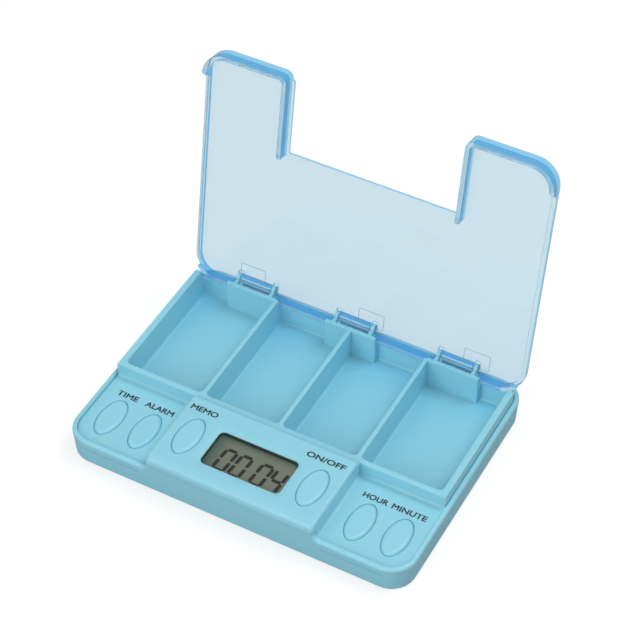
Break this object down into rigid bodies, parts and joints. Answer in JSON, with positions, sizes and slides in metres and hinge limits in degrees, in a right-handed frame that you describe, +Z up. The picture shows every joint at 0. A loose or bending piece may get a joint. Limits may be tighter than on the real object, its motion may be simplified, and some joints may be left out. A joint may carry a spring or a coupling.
{
  "type": "pill box with alarm",
  "caption": "Pocket pill box with open compartments, a hinged clear lid and a front console with a display and oval keys for a built-in alarm clock.",
  "frame": {"origin": "middle of the case's flat underside", "axes": "+X to the right along the row of keys, -Y towards the front with the keys, +Z up"},
  "size_m": [0.1146, 0.0948, 0.0912],
  "materials": {
    "case_plastic": "glossy moulded plastic, light blue",
    "lid_plastic": "clear moulded plastic with a light blue tint",
    "key_plastic": "glossy moulded plastic, light blue",
    "white_plastic": "moulded plastic, off-white",
    "pad_rubber": "soft grey silicone",
    "strip_rubber": "soft pink silicone",
    "board": "green lacquered laminate",
    "resin": "black resin drop",
    "ceramic": "small dark parts",
    "can_steel": "drawn can",
    "film": "smooth polarising film",
    "display_glass": "polished",
    "reflector": "grey-green reflecting film",
    "cell_steel": "plated steel",
    "contact_metal": "sprung plated strip",
    "brass": "thin sheet",
    "steel": "plated"
  },
  "bodies": {
    "base": {"bottom_case": "case_plastic", "top_housing": "case_plastic", "battery_door": "case_plastic", "hinge_pins": "lid_plastic", "keypad_left": "pad_rubber", "keypad_right": "pad_rubber", "contact_strip": "strip_rubber", "circuit_board": "board", "chip_blob": "resin", "chip_parts": "ceramic", "crystal": "can_steel", "display_polariser": "film", "display_glass": "display_glass", "display_reflector": "reflector", "display_frame": "white_plastic", "cell_cage": "white_plastic", "cell_left": "cell_steel", "cell_right": "cell_steel", "cell_contacts": "contact_metal", "door_contact": "contact_metal", "buzzer_springs": "contact_metal", "buzzer_disc": "brass", "board_screws": "steel", "frame_screws": "steel", "case_screws": "steel"},
    "lid": {"lid": "lid_plastic"},
    "key_time": {"button_time": "key_plastic"},
    "key_alarm": {"button_alarm": "key_plastic"},
    "key_memo": {"button_memo": "key_plastic"},
    "key_on_off": {"button_on_off": "key_plastic"},
    "key_hour": {"button_hour": "key_plastic"},
    "key_minute": {"button_minute": "key_plastic"}
  },
  "joints": [
    {"name": "lid_hinge", "type": "hinge", "parent": "base", "child": "lid", "pos_m": [0, 0.0378, 0.0132], "axis": [1, 0, 0], "range_deg": [0, 100.3]},
    {"name": "time_press", "type": "slide", "parent": "base", "child": "key_time", "axis": [0, 0, 1], "range_m": [-0.0005, 0], "stiffness_N_per_m": 400, "springref_m": 0.0005},
    {"name": "alarm_press", "type": "slide", "parent": "base", "child": "key_alarm", "axis": [0, 0, 1], "range_m": [-0.0005, 0], "stiffness_N_per_m": 400, "springref_m": 0.0005},
    {"name": "memo_press", "type": "slide", "parent": "base", "child": "key_memo", "axis": [0, 0, 1], "range_m": [-0.0005, 0], "stiffness_N_per_m": 400, "springref_m": 0.0005},
    {"name": "on_off_press", "type": "slide", "parent": "base", "child": "key_on_off", "axis": [0, 0, 1], "range_m": [-0.0005, 0], "stiffness_N_per_m": 400, "springref_m": 0.0005},
    {"name": "hour_press", "type": "slide", "parent": "base", "child": "key_hour", "axis": [0, 0, 1], "range_m": [-0.0005, 0], "stiffness_N_per_m": 400, "springref_m": 0.0005},
    {"name": "minute_press", "type": "slide", "parent": "base", "child": "key_minute", "axis": [0, 0, 1], "range_m": [-0.0005, 0], "stiffness_N_per_m": 400, "springref_m": 0.0005}
  ]
}
